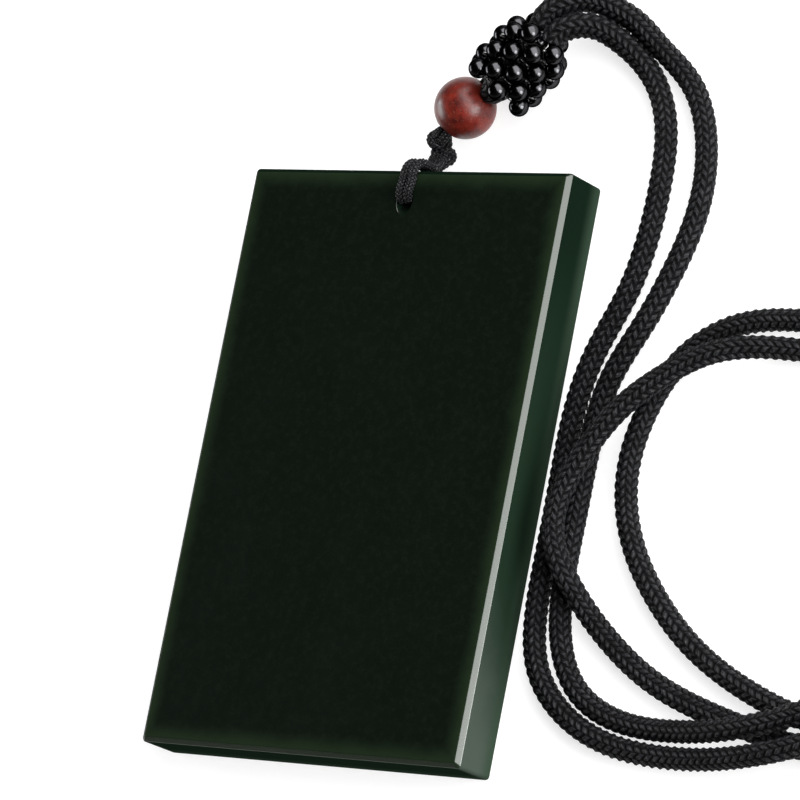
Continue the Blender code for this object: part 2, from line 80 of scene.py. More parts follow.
# The neck cord's route, the same points as its solid follows
NECK_CORD_ROUTE = [
    (0.0116, 0.0452, 0.0042), (0.0119, 0.0465, 0.0042), (0.0136, 0.0481, 0.0037),
    (0.0158, 0.0488, 0.0027), (0.0183, 0.0482, 0.0018), (0.0209, 0.0469, 0.0013),
    (0.0240, 0.0445, 0.0011),
    (0.0290, 0.0402, 0.0011), (0.0317, 0.0345, 0.0011), (0.0322, 0.0280, 0.0011),
    (0.0307, 0.0218, 0.0011), (0.0283, 0.0160, 0.0011), (0.0257, 0.0105, 0.0011),
    (0.0247, 0.0044, 0.0011), (0.0246, -0.0026, 0.0011), (0.0246, -0.0096, 0.0011),
    (0.0255, -0.0156, 0.0011), (0.0284, -0.0205, 0.0011), (0.0339, -0.0233, 0.0011),
    (0.0402, -0.0240, 0.0017), (0.0448, -0.0240, 0.0029), (0.0492, -0.0235, 0.0036),
    (0.0552, -0.0218, 0.0036), (0.0606, -0.0190, 0.0033), (0.0650, -0.0144, 0.0019),
    (0.0675, -0.0089, 0.0011), (0.0679, -0.0020, 0.0011), (0.0652, 0.0044, 0.0011),
    (0.0600, 0.0098, 0.0011), (0.0534, 0.0130, 0.0011), (0.0466, 0.0139, 0.0014),
    (0.0424, 0.0137, 0.0026), (0.0386, 0.0128, 0.0035), (0.0340, 0.0106, 0.0036),
    (0.0292, 0.0069, 0.0036), (0.0258, 0.0021, 0.0036), (0.0240, -0.0024, 0.0036),
    (0.0242, -0.0062, 0.0036), (0.0260, -0.0097, 0.0031), (0.0281, -0.0127, 0.0017),
    (0.0315, -0.0158, 0.0011), (0.0375, -0.0195, 0.0011), (0.0445, -0.0220, 0.0011),
    (0.0516, -0.0238, 0.0011), (0.0586, -0.0250, 0.0011), (0.0654, -0.0244, 0.0011),
    (0.0712, -0.0208, 0.0011), (0.0752, -0.0152, 0.0011), (0.0774, -0.0086, 0.0011),
    (0.0791, -0.0020, 0.0011), (0.0818, 0.0034, 0.0011), (0.0824, 0.0086, 0.0011),
    (0.0794, 0.0128, 0.0011), (0.0748, 0.0128, 0.0011), (0.0719, 0.0088, 0.0011),
    (0.0727, 0.0034, 0.0011), (0.0743, -0.0024, 0.0011), (0.0744, -0.0088, 0.0011),
    (0.0722, -0.0148, 0.0011), (0.0682, -0.0196, 0.0011), (0.0622, -0.0223, 0.0011),
    (0.0550, -0.0218, 0.0011), (0.0478, -0.0194, 0.0011), (0.0411, -0.0158, 0.0011),
    (0.0355, -0.0109, 0.0011), (0.0315, -0.0053, 0.0011), (0.0297, 0.0010, 0.0011),
    (0.0307, 0.0076, 0.0011), (0.0339, 0.0130, 0.0011), (0.0392, 0.0162, 0.0011),
    (0.0460, 0.0169, 0.0011), (0.0538, 0.0160, 0.0011), (0.0614, 0.0126, 0.0011),
    (0.0672, 0.0070, 0.0011), (0.0704, -0.0004, 0.0011), (0.0704, -0.0086, 0.0011),
    (0.0679, -0.0155, 0.0017), (0.0638, -0.0204, 0.0031), (0.0580, -0.0240, 0.0036),
    (0.0516, -0.0259, 0.0035), (0.0456, -0.0265, 0.0022), (0.0404, -0.0265, 0.0013),
    (0.0340, -0.0258, 0.0011), (0.0277, -0.0232, 0.0011), (0.0234, -0.0186, 0.0011),
    (0.0221, -0.0133, 0.0011), (0.0220, -0.0066, 0.0011), (0.0220, 0.0000, 0.0011),
    (0.0221, 0.0068, 0.0011), (0.0233, 0.0130, 0.0011), (0.0257, 0.0190, 0.0011),
    (0.0269, 0.0246, 0.0011), (0.0272, 0.0306, 0.0011), (0.0266, 0.0361, 0.0011),
    (0.0246, 0.0404, 0.0011), (0.0213, 0.0437, 0.0013), (0.0190, 0.0452, 0.0018),
    (0.0169, 0.0460, 0.0027), (0.0151, 0.0457, 0.0037), (0.0137, 0.0447, 0.0042),
    (0.0132, 0.0437, 0.0042),
]


# Curves


def smooth_curve(points):
    """A natural cubic spline through points, as a function of length along the chords."""
    knots = np.array(points, float)
    chords = np.linalg.norm(np.diff(knots, axis=0), axis=1)
    along = np.concatenate(([0.0], np.cumsum(chords)))
    count = len(knots)
    matrix = np.eye(count)
    right = np.zeros_like(knots)
    for i in range(1, count - 1):
        before, after = chords[i - 1], chords[i]
        matrix[i, i - 1:i + 2] = before, 2.0 * (before + after), after
        slope_after = (knots[i + 1] - knots[i]) / after
        slope_before = (knots[i] - knots[i - 1]) / before
        right[i] = 6.0 * (slope_after - slope_before)
    bend = np.linalg.solve(matrix, right)

    def at(distances):
        distances = np.atleast_1d(distances)
        i = np.clip(np.searchsorted(along, distances, side="right") - 1, 0, count - 2)
        span = chords[i][:, None]
        left = (distances - along[i])[:, None]
        rest = (along[i + 1] - distances)[:, None]
        curved = (bend[i] * rest ** 3 + bend[i + 1] * left ** 3) / (6.0 * span)
        start = (knots[i] / span - bend[i] * span / 6.0) * rest
        end = (knots[i + 1] / span - bend[i + 1] * span / 6.0) * left
        return curved + start + end

    return at, float(along[-1])


def even_points(points, spacing, lowest=None):
    """Points at equal steps of true length along the smooth curve through points, and their
    lengths along it. No point lies below lowest."""
    at, span = smooth_curve(points)
    fine = at(np.linspace(0.0, span, max(400, 24 * len(points))))
    if lowest is not None:
        fine[:, 2] = np.maximum(fine[:, 2], lowest)
    length = np.concatenate(([0.0], np.cumsum(np.linalg.norm(np.diff(fine, axis=0), axis=1))))
    steps = max(4, round(length[-1] / spacing))
    wanted = np.linspace(0.0, length[-1], steps + 1)
    places = np.stack([np.interp(wanted, length, fine[:, k]) for k in range(3)], axis=1)
    return places, wanted


def carried_frames(places, closed=False):
    """Two side directions at each point, carried along the curve without twisting."""
    if closed:
        ways = np.roll(places, -1, axis=0) - np.roll(places, 1, axis=0)
    else:
        ways = np.gradient(places, axis=0)
    ways /= np.linalg.norm(ways, axis=1)[:, None]
    start = np.cross(ways[0], (0.0, 0.0, 1.0))
    if np.linalg.norm(start) < 0.2:
        start = np.cross(ways[0], (1.0, 0.0, 0.0))
    side = start / np.linalg.norm(start)
    sides = np.empty_like(places)
    for i, way in enumerate(ways):
        side = side - way * side.dot(way)
        side = side / np.linalg.norm(side)
        sides[i] = side
    return sides, np.cross(ways, sides)


# Meshes


def new_object(name, mesh, *materials):
    """An object for a mesh, at the origin, with its materials in order."""
    thing = bpy.data.objects.new(name, mesh)
    bpy.context.scene.collection.objects.link(thing)
    for material in materials:
        mesh.materials.append(material)
    return thing


def grid_mesh(name, places, wrap_rows=False, uv=None):
    """A closed tube of quads from an array of rings. Its ends are capped, or its last ring
    joins the first. uv gives each corner's two pattern coordinates and runs one column past
    the last vertex."""
    rows, columns = places.shape[:2]
    last = rows if wrap_rows else rows - 1
    r, c = np.meshgrid(np.arange(last), np.arange(columns), indexing="ij")
    r2, c2 = (r + 1) % rows, (c + 1) % columns
    quads = np.stack([r * columns + c, r * columns + c2, r2 * columns + c2, r2 * columns + c], -1)
    quads = quads.reshape(-1, 4)
    faces = quads.tolist()
    if not wrap_rows:
        faces.append(list(range(columns))[::-1])
        faces.append([(rows - 1) * columns + k for k in range(columns)])
    mesh = bpy.data.meshes.new(name)
    mesh.from_pydata(places.reshape(-1, 3).tolist(), [], faces)
    if uv is not None:
        corner = np.stack([
            uv[r, c], uv[r, c + 1], uv[r + 1, c + 1], uv[r + 1, c],
        ], axis=2).reshape(-1, 2)
        layer = mesh.uv_layers.new(name="plait")
        full = np.zeros((len(mesh.loops), 2), np.float32)
        full[: len(corner)] = corner
        layer.uv.foreach_set("vector", full.ravel())
    mesh.shade_smooth()
    return mesh


# Braid: how steeply a plait leans, how narrow its crown is and how far it reaches into the
# next columns
PLAIT_SLOPE = 0.6
PLAIT_NARROWNESS = 6.2
PLAIT_REACH = 1.12

# Vertices of a braid, along a row of plaits and round the cord, and the lowest one's height
RINGS_PER_ROW = 4
CORD_SIDES = 40
LOWEST = 0.01 * MM


def weave_height(across, along):
    """Height, from 0 to 1, of a braid of short plaits that lean by turns to either side.
    across counts columns of plaits round the cord, along counts rows of plaits down it."""
    heights = []
    for first, way, shift in ((0.5, -1.0, 0.0), (1.5, 1.0, 0.5)):
        off = np.mod(across - first + 1.0, 2.0) - 1.0
        strand = np.mod(along + way * PLAIT_SLOPE * off + shift, 1.0) - 0.5
        crown = np.sqrt(np.maximum(0.0, 1.0 - PLAIT_NARROWNESS * strand ** 2))
        arch = np.cos(0.5 * math.pi * np.minimum(1.0, 2.0 * np.abs(off) / PLAIT_REACH))
        heights.append(crown * np.sqrt(np.maximum(0.0, arch)))
    return np.maximum(*heights)


def braided_tube(name, points, diameter, row, columns, depth, sides=CORD_SIDES, lowest=None,
                 closed=False, scale=None):
    """A round braid: its surface carries each plait, and its map numbers the plaits. scale
    gives lengths along the cord and the cord's share of its diameter there."""
    places, along = even_points(points, row / RINGS_PER_ROW, lowest)
    if closed:
        places, along = places[:-1], along[:-1]
    side, normal = carried_frames(places, closed)
    rows = len(places)
    angle = np.linspace(0.0, math.tau, sides, endpoint=False)
    across = np.arange(sides + 1) * columns / sides
    rows_along = along / row
    if closed:
        rows_along = rows_along * round(rows / RINGS_PER_ROW) * RINGS_PER_ROW / rows
    height = weave_height(across[None, :-1], rows_along[:, None])
    radius = 0.5 * diameter - depth * (1.0 - height)
    if scale is not None:
        radius = radius * np.interp(along, *scale)[:, None]
    verts = places[:, None, :] + rings_round(side, normal, angle) * radius[:, :, None]
    if lowest is not None:
        verts[:, :, 2] = np.maximum(verts[:, :, 2], LOWEST)
    shown = np.append(rows_along, rows_along[-1] + rows_along[1])
    uv = np.stack(np.broadcast_arrays(across[None, :], shown[:, None]), axis=-1)
    return grid_mesh(name, verts, closed, uv), places


def rings_round(side, normal, angle):
    """Unit ways outward at each angle, in the plane of the two side directions."""
    return (side[:, None, :] * np.cos(angle)[None, :, None]
            + normal[:, None, :] * np.sin(angle)[None, :, None])


def turned_mesh(name, profile, sides):
    """A closed profile of (radius, height) pairs turned about Z."""
    profile = np.array(profile)
    angle = np.linspace(0.0, math.tau, sides, endpoint=False)
    x = profile[None, :, 0] * np.cos(angle)[:, None]
    y = profile[None, :, 0] * np.sin(angle)[:, None]
    z = np.broadcast_to(profile[None, :, 1], x.shape)
    return grid_mesh(name, np.stack([x, y, z], axis=-1), wrap_rows=True)


def bead_profile(radius, bore, arc_steps, lip):
    """Outside of a bead from its upper lip to its lower one, then the wall of its bore."""
    rim = math.acos((bore + lip) / radius)
    arc = [rim - 2.0 * rim * i / arc_steps for i in range(arc_steps + 1)]
    points = [(radius * math.cos(a), radius * math.sin(a)) for a in arc]
    end = radius * math.sin(rim)
    points.append((bore + 0.3 * lip, -end + 0.05 * lip))
    points.append((bore, -end + lip))
    points.append((bore, end - lip))
    points.append((bore + 0.3 * lip, end - 0.05 * lip))
    return points


# Material nodes


class Shade:
    """Adds nodes to a material and wires them together."""

    def __init__(self, name):
        self.material = bpy.data.materials.new(name)
        self.material.use_nodes = True
        self.tree = self.material.node_tree
        self.surface = self.tree.nodes["Principled BSDF"]

    def node(self, kind, settings=None, **inputs):
        """A new node; an input's name has _ for each space."""
        made = self.tree.nodes.new(kind)
        for key, value in (settings or {}).items():
            setattr(made, key, value)
        for key, value in inputs.items():
            self.wire(made.inputs[key.replace("_", " ")], value)
        return made

    def wire(self, socket, value):
        """Link an output to the socket, or set the socket to a value."""
        if isinstance(value, bpy.types.NodeSocket):
            self.tree.links.new(value, socket)
        else:
            socket.default_value = value

    def math(self, operation, a, b=0.0, c=0.0, clamp=False):
        made = self.tree.nodes.new("ShaderNodeMath")
        made.operation = operation
        made.use_clamp = clamp
        for socket, value in zip(made.inputs, (a, b, c)):
            self.wire(socket, value)
        return made.outputs[0]

    def noise(self, vector, scale, detail=3.0, roughness=0.55, distortion=0.0):
        made = self.node(
            "ShaderNodeTexNoise", None, Vector=vector, Scale=scale, Detail=detail,
            Roughness=roughness, Distortion=distortion,
        )
        return made.outputs["Fac"]

    def between(self, value, low, high, out_low=0.0, out_high=1.0):
        """A smooth step from out_low, at low, to out_high, at high."""
        made = self.node("ShaderNodeMapRange", {"interpolation_type": "SMOOTHSTEP"})
        for socket, number in zip(made.inputs, (value, low, high, out_low, out_high)):
            self.wire(socket, number)
        return made.outputs[0]

    def mix(self, share, first, second):
        made = self.tree.nodes.new("ShaderNodeMix")
        made.data_type = "RGBA"
        self.wire(made.inputs["Factor"], share)
        self.wire(made.inputs[6], first)
        self.wire(made.inputs[7], second)
        return made.outputs[2]

    def bump(self, height, distance, strength=1.0, normal=None):
        made = self.node(
            "ShaderNodeBump", None, Height=height, Distance=distance, Strength=strength,
        )
        if normal is not None:
            self.wire(made.inputs["Normal"], normal)
        return made.outputs["Normal"]

    def set(self, **inputs):
        """Wire or set the shader's own sockets."""
        for key, value in inputs.items():
            self.wire(self.surface.inputs[key.replace("_", " ")], value)

    def place(self):
        """The point's place in metres, in the pendant's frame."""
        return self.node("ShaderNodeTexCoord").outputs["Object"]


def rgba(colour):
    """A colour with full opacity, as the sockets take it."""
    return (*colour, 1.0)


def ground_colour(shade, look, split, cloud):
    """Colour of the ground sides: mottled green, with painted shade towards the upper end and a
    painted reflection at the lower end of the right side."""
    green = shade.mix(cloud, rgba(look.side), rgba(look.side_warm))
    # Painted shade: the sides turn darker towards the upper end.
    upper_shade = shade.between(split[1], 4.0 * MM, 26.0 * MM)
    green = shade.mix(upper_shade, green, rgba(look.side_painted_shade))
    # Painted reflection: the right side turns paler towards its lower end.
    from_end = shade.math("ADD", split[1], HALF_LENGTH)
    from_end = shade.math("MULTIPLY_ADD", split[2], -1.8, from_end)
    from_end = shade.math("MULTIPLY_ADD", cloud, 6.0 * MM, from_end)
    low_reflection = shade.between(from_end, 16.0 * MM, -2.0 * MM)
    right = shade.between(split[0], HALF_WIDTH - 0.7 * MM, HALF_WIDTH - 0.1 * MM)
    return shade.mix(shade.math("MULTIPLY", low_reflection, right), green, rgba(look.side_painted_reflection))


def polished_colour(shade, look, place, inset, cloud):
    """Colour of the polished faces: near black, and greener within a border of their edges."""
    wander = shade.math("MULTIPLY_ADD", cloud, 1.4 * MM, -0.7 * MM)
    edge = shade.between(shade.math("ADD", inset, wander), look.border, 0.0)
    fleck = shade.between(shade.noise(place, 1500.0, 5.0, 0.7), 0.42, 0.72)
    body = shade.mix(fleck, rgba(look.body), rgba(look.fleck))
    return shade.mix(edge, body, shade.mix(cloud, rgba(look.edge), rgba(look.edge_warm)))


def jade_material(name, look, roughness, gloss_level, ground=False):
    """Near-black jade that turns greener where its edges let light in, polished or ground."""
    shade = Shade(name)
    place = shade.place()
    split = shade.node("ShaderNodeSeparateXYZ", None, Vector=place).outputs
    across = shade.math("SUBTRACT", HALF_WIDTH, shade.math("ABSOLUTE", split[0]))
    along = shade.math("SUBTRACT", HALF_LENGTH, shade.math("ABSOLUTE", split[1]))
    inset = shade.math("MINIMUM", across, along)
    cloud = shade.noise(place, 260.0, 4.0, 0.6, 0.4)
    if ground:
        colour = ground_colour(shade, look, split, cloud)
    else:
        colour = polished_colour(shade, look, place, inset, cloud)
    # Painted light: a lighter band low on the sides, along the back edge.
    low = shade.between(split[2], 2.4 * MM, 0.2 * MM)
    side = shade.between(inset, 0.35 * MM, 0.02 * MM)
    colour = shade.mix(shade.math("MULTIPLY", low, side), colour, rgba(look.back_edge_painted_light))
    smear = shade.noise(place, 140.0, 5.0, 0.6, 1.2)
    gloss = shade.between(smear, 0.3, 0.75, roughness * 0.92, roughness * 1.1)
    ripple = shade.noise(place, 120.0, 2.0, 0.5)
    grain = shade.noise(place, 2600.0, 4.0, 0.65)
    normal = shade.bump(ripple, 0.02 * MM, 0.5)
    normal = shade.bump(grain, (0.006 if ground else 0.002) * MM, 0.5, normal)
    shade.set(
        Base_Color=colour, Roughness=gloss, IOR=1.61, Normal=normal,
        Specular_IOR_Level=gloss_level,
    )
    return shade.material


def plait_places(shade):
    """Where a point of a braid lies: across its plait's width, from 0 to 1, and across its
    column, from -0.5 to 0.5. The same rule as weave_height."""
    numbers = shade.node("ShaderNodeUVMap", {"uv_map": "plait"}).outputs[0]
    split = shade.node("ShaderNodeSeparateXYZ", None, Vector=numbers).outputs
    off = shade.math("SUBTRACT", shade.math("FRACT", split[0]), 0.5)
    pair = shade.math("FRACT", shade.math("MULTIPLY", split[0], 0.5))
    rising = shade.math("GREATER_THAN", pair, 0.5)
    lean = shade.math("MULTIPLY_ADD", rising, 2.0 * PLAIT_SLOPE, -PLAIT_SLOPE)
    strand = shade.math("MULTIPLY_ADD", off, lean, split[1])
    strand = shade.math("FRACT", shade.math("MULTIPLY_ADD", rising, 0.5, strand))
    return strand, off


def braid_material(name, look, painted_glint, yarns, bump):
    """Black braid: parallel yarns in each plait with painted glints on single fibres, and
    painted shade where the plaits dive under."""
    shade = Shade(name)
    strand, off = plait_places(shade)
    yarn = shade.math("SINE", shade.math("MULTIPLY", strand, math.pi * yarns))
    yarn = shade.math("ABSOLUTE", yarn)
    place = shade.place()
    fibre = shade.noise(place, look.fibre_scale, 4.0, 0.7)
    centre = shade.math("ABSOLUTE", shade.math("SUBTRACT", strand, 0.5))
    gap = shade.between(centre, 0.24, 0.38)
    dive = shade.between(shade.math("ABSOLUTE", off), 0.30, 0.46)
    hidden = shade.math("MAXIMUM", gap, shade.math("MULTIPLY", dive, 0.9))
    height = shade.math("MULTIPLY_ADD", fibre, 0.8, yarn)
    height = shade.math("SUBTRACT", height, shade.math("MULTIPLY", hidden, 2.0))
    patch = shade.noise(place, look.fibre_scale * 0.12, 3.0, 0.6)
    top = shade.mix(shade.between(patch, 0.3, 0.7), rgba(look.yarn), rgba(look.yarn_light))
    # Painted glints: bright streaks on single fibres.
    bright = shade.between(fibre, 0.5, 0.68)
    painted_glint_streak = shade.math("MULTIPLY", shade.between(yarn, 0.7, 1.0), bright)
    top = shade.mix(painted_glint_streak, top, rgba(painted_glint))
    # Painted shade: darker where the plaits dive under.
    colour = shade.mix(hidden, top, rgba(look.gap))
    gloss = shade.between(fibre, 0.25, 0.75, look.roughness + 0.12, look.roughness - 0.1)
    gloss = shade.math("MULTIPLY_ADD", hidden, 0.45, gloss, clamp=True)
    shade.set(
        Base_Color=colour, Roughness=gloss, Normal=shade.bump(height, bump),
        Specular_IOR_Level=look.shine,
    )
    return shade.material


def wood_material(look):
    """Dark red close-grained wood, turned and waxed, with short open pores."""
    shade = Shade("red_sandalwood")
    place = shade.place()
    turned = shade.node(
        "ShaderNodeMapping", None, Vector=place, Rotation=(0.9, 0.35, 0.2), Scale=(1.0, 1.0, 0.22),
    ).outputs[0]
    grain = shade.noise(turned, 2400.0, 5.0, 0.65, 0.4)
    pore = shade.between(shade.noise(turned, 4200.0, 3.0, 0.6), 0.62, 0.70)
    speck = shade.between(shade.noise(place, 7000.0, 2.0, 0.5), 0.62, 0.72)
    figure = shade.noise(turned, 420.0, 3.0, 0.5, 1.0)
    base = shade.mix(shade.between(figure, 0.3, 0.7), rgba(look.dark), rgba(look.light))
    base = shade.mix(shade.between(grain, 0.4, 0.7, 0.0, 0.6), base, rgba(look.light))
    base = shade.mix(shade.math("MULTIPLY", speck, 0.5), base, rgba(look.fleck))
    colour = shade.mix(pore, base, rgba(look.pore))
    height = shade.math("SUBTRACT", shade.math("MULTIPLY", grain, 0.7), pore)
    gloss = shade.between(grain, 0.3, 0.7, look.roughness, look.roughness + 0.12)
    shade.set(
        Base_Color=colour, Roughness=gloss, Normal=shade.bump(height, 0.03 * MM, 0.7),
        Specular_IOR_Level=0.38,
    )
    return shade.material


def bead_material(look):
    """Polished black beads with faint smears in their gloss."""
    shade = Shade("black_bead")
    place = shade.place()
    cloud = shade.noise(place, 900.0, 3.0, 0.6)
    colour = shade.mix(shade.between(cloud, 0.3, 0.7), rgba(look.dark), rgba(look.light))
    gloss = shade.between(cloud, 0.3, 0.7, look.roughness, look.roughness + 0.06)
    pitted = shade.noise(place, 3200.0, 2.0, 0.5)
    shade.set(
        Base_Color=colour, Metallic=1.0, Roughness=gloss, Specular_Tint=rgba(look.rim),
        Normal=shade.bump(pitted, 0.006 * MM, 0.4),
    )
    return shade.material


THREAD_DARK = (0.006, 0.006, 0.006)
# Painted glints on the clear thread.
THREAD_PAINTED_GLINT = (0.25, 0.25, 0.24)


def thread_material():
    """Clear thread that holds the small beads, with painted glints in patches along it."""
    shade = Shade("clear_thread")
    painted_glint_streak = shade.between(shade.noise(shade.place(), 4000.0, 2.0), 0.5, 0.7)
    colour = shade.mix(painted_glint_streak, rgba(THREAD_DARK), rgba(THREAD_PAINTED_GLINT))
    shade.set(Base_Color=colour, Roughness=0.22, IOR=1.5)
    return shade.material


def floor_material(look):
    """Matt white surface, faintly mottled and lit a little from below."""
    shade = Shade("pale_surface")
    fine = shade.noise(shade.place(), 900.0, 3.0, 0.6)
    paler = tuple(min(1.0, 1.02 * part) for part in look.floor)
    shade.set(
        Base_Color=shade.mix(fine, rgba(look.floor), rgba(paler)), Roughness=0.8,
        Specular_IOR_Level=0.0, Emission_Color=rgba((1.0, 1.0, 1.0)),
        Emission_Strength=look.glow,
    )
    return shade.material


# Settings


def length(name, description, default):
    return FloatProperty(
        name=name, description=description, default=default, min=0.0, max=1.0,
        precision=5, subtype="DISTANCE", unit="LENGTH",
    )


def colour(name, description, default):
    return FloatVectorProperty(
        name=name, description=description, default=default, min=0.0, max=1.0, size=3,
        subtype="COLOR",
    )


def share(name, description, default, high=1.0):
    return FloatProperty(
        name=name, description=description, default=default, min=0.0, max=high,
        subtype="FACTOR",
    )


def power(name, description, default):
    return FloatProperty(
        name=name, description=description, default=default, min=0.0, max=1000.0,
        subtype="POWER", unit="POWER",
    )


def plait_columns(default):
    return IntProperty(
        name="Columns", description="Columns of plaits round the cord", default=default,
        min=4, max=24, subtype="UNSIGNED",
    )


class TabletLook(bpy.types.PropertyGroup):
    front_chamfer: length("Front chamfer", "Width of the chamfer round the front face", 0.5 * MM)
    back_chamfer: length("Back chamfer", "Width of the chamfer round the back face", 0.25 * MM)
    corner: length("Corner radius", "Radius of the four upright corners", 0.4 * MM)
    softening: length("Softening", "Radius left by polishing on every edge", 0.09 * MM)
    hole: length("Hole diameter", "Diameter of the stringing hole", 1.9 * MM)
    border: length("Light border", "How far light reaches in from the edges", 2.4 * MM)
    body: colour("Body", "Colour of the thick jade", (0.0028, 0.0050, 0.0030))
    fleck: colour("Fleck", "Colour of the fine flecks", (0.0042, 0.0074, 0.0044))
    edge: colour("Edge", "Colour where light comes through the edge", (0.0098, 0.0195, 0.0092))
    edge_warm: colour("Warm edge", "Warmer patches of the edge", (0.0125, 0.0215, 0.0098))
    side: colour("Side", "Colour of the ground sides", (0.0062, 0.0140, 0.0086))
    side_warm: colour("Warm side", "Warmer patches of the sides", (0.0080, 0.0165, 0.0090))
    # Painted shade on the ground sides, towards the upper end.
    side_painted_shade: colour("Deep side", "Deeper jade at the upper end", (0.0032, 0.0078, 0.0046))
    # Painted reflection on the right side, towards its lower end.
    side_painted_reflection: colour("Pale side", "Paler jade at the lower end", (0.034, 0.045, 0.036))
    # Painted light low on the sides, along the back edge.
    back_edge_painted_light: colour("Back edge", "Colour low on the sides", (0.020, 0.034, 0.022))
    roughness: share("Roughness", "Gloss of the polished faces", 0.26)
    bevel_roughness: share("Bevel roughness", "Gloss of the front bevel", 0.22)
    side_roughness: share("Side roughness", "Gloss of the ground sides", 0.24)


class BraidLook(bpy.types.PropertyGroup):
    yarn: colour("Yarn", "Colour of the yarns", (0.0036, 0.0037, 0.0044))
    yarn_light: colour("Light yarn", "Colour of the lighter yarns", (0.0135, 0.0138, 0.0158))
    # Painted glint on single fibres.
    painted_glint: colour("Glint", "Colour of single bright fibres", (0.060, 0.061, 0.066))
    # Painted shade between the plaits.
    gap: colour("Gap", "Colour between the plaits", (0.0005, 0.0005, 0.0006))
    shine: share("Shine", "Strength of the yarns' gloss", 0.12)
    roughness: share("Roughness", "Gloss of the yarns", 0.36)
    fibre_scale: FloatProperty(
        name="Fibre scale", description="Fineness of the fibres", default=5200.0,
        min=10.0, max=50000.0,
    )


class NeckCordSize(bpy.types.PropertyGroup):
    diameter: length("Diameter", "Diameter of the neck cord", 2.2 * MM)
    crown: length("Crown", "How far the plaits stand proud of the diameter", 0.09 * MM)
    row: length("Plait length", "Length of a plait along the cord", 0.95 * MM)
    depth: length("Plait depth", "How far the plaits stand out", 0.32 * MM)
    swelling: share("Swelling", "Share of the diameter near the bound ends", 1.14, 2.0)
    full: length("Full until", "How far from an end the cord is swollen", 9.0 * MM)
    slim: length("Slim from", "How far from an end the cord has its own diameter", 16.0 * MM)
    columns: plait_columns(10)


class BailCordSize(bpy.types.PropertyGroup):
    diameter: length("Diameter", "Diameter of the thin cord", 1.0 * MM)
    row: length("Plait length", "Length of a plait along the cord", 0.36 * MM)
    depth: length("Plait depth", "How far the plaits stand out", 0.15 * MM)
    spread: share("Spread", "Way of each strand from the middle, in diameters", 0.49)
    # Painted glint on single fibres of the thin cord.
    painted_glint: colour("Glint", "Colour of single bright fibres", (0.155, 0.158, 0.165))
    columns: plait_columns(8)


class WoodBeadLook(bpy.types.PropertyGroup):
    bore: length("Bore", "Diameter of the bore", 1.8 * MM)
    dark: colour("Dark wood", "Colour of the dark grain", (0.034, 0.0028, 0.0021))
    light: colour("Light wood", "Colour of the light grain", (0.146, 0.0120, 0.0060))
    fleck: colour("Fleck", "Colour of the pale specks", (0.30, 0.13, 0.07))
    pore: colour("Pore", "Colour inside the pores", (0.014, 0.002, 0.0015))
    roughness: share("Roughness", "Gloss of the waxed wood", 0.29)


class SmallBeadLook(bpy.types.PropertyGroup):
    diameter: length("Diameter", "Diameter of a small bead", 2.04 * MM)
    bore: length("Bore", "Diameter of its bore", 0.6 * MM)
    thread: length("Thread", "Diameter of the thread through the beads", 0.14 * MM)
    dark: colour("Dark", "Colour of the beads", (0.040, 0.040, 0.042))
    light: colour("Light", "Colour of the faint smears", (0.052, 0.052, 0.055))
    rim: colour("Rim", "Tint of the gloss at the rims", (0.06, 0.06, 0.06))
    roughness: share("Roughness", "Gloss of the beads", 0.15)


class StageLook(bpy.types.PropertyGroup):
    floor: colour("Floor", "Colour of the surface", (0.4, 0.4, 0.4))
    glow: share("Glow", "Light given by the surface, a light table", 0.75, 10.0)
    key: power("Key light", "Power of the softbox at the right", 5.2)
    front: power("Front light", "Power of the small softbox in front", 1.7)
    fill: power("Fill light", "Power of the panel at the left", 1.4)
    sky: share("Sky", "Strength of the light from all round", 0.12, 10.0)


class PendantSettings(bpy.types.PropertyGroup):
    tablet: PointerProperty(type=TabletLook)
    braid: PointerProperty(type=BraidLook)
    neck_cord: PointerProperty(type=NeckCordSize)
    bail_cord: PointerProperty(type=BailCordSize)
    wood_bead: PointerProperty(type=WoodBeadLook)
    small_bead: PointerProperty(type=SmallBeadLook)
    stage: PointerProperty(type=StageLook)


# Stage

# The camera looks steeply down on the lying pendant, from its lower right
CAMERA_PLACE = Vector((0.36056154, -0.11239521, 0.47251612))
CAMERA_AHEAD = Vector((-0.59464332, 0.19796735, -0.77923569))
CAMERA_ABOVE = Vector((-0.03451067, 0.96203286, 0.27074303))
CAMERA_LENS = 273.0087
CAMERA_SENSOR = 36.0

FLOOR_REACH = 1.6
FLOOR_DROP = 0.02 * MM

# Each softbox's name, place, target and size, and the setting that holds its power
SOFTBOXES = (
    ("softbox_right", (0.275, 0.215, 0.235), (0.01, 0.02, 0.0), (0.70, 0.46), "key"),
    ("softbox_front", (0.39, -0.05, 0.11), (0.01, 0.03, 0.0), (0.20, 0.20), "front"),
    ("panel_left", (-0.43, -0.02, 0.13), (0.0, 0.03, 0.0), (0.30, 0.16), "fill"),
)

# Heights in the sky, from 0 to 1, where it is still white and where it is dark
SKY_WHITE_BELOW = 0.15
SKY_DARK_ABOVE = 0.62
SKY_DARK = (0.02, 0.02, 0.02)


def add_softbox(name, place, target, size, power):
    """A rectangular area light at place that shines towards target."""
    lamp = bpy.data.lights.new(name, "AREA")
    lamp.shape = "RECTANGLE"
    lamp.size, lamp.size_y = size
    lamp.energy = power
    thing = bpy.data.objects.new(name, lamp)
    bpy.context.scene.collection.objects.link(thing)
    way = (Vector(target) - Vector(place)).normalized()
    turn = way.to_track_quat("-Z", "Y").to_matrix().to_4x4()
    thing.matrix_world = Matrix.Translation(place) @ turn


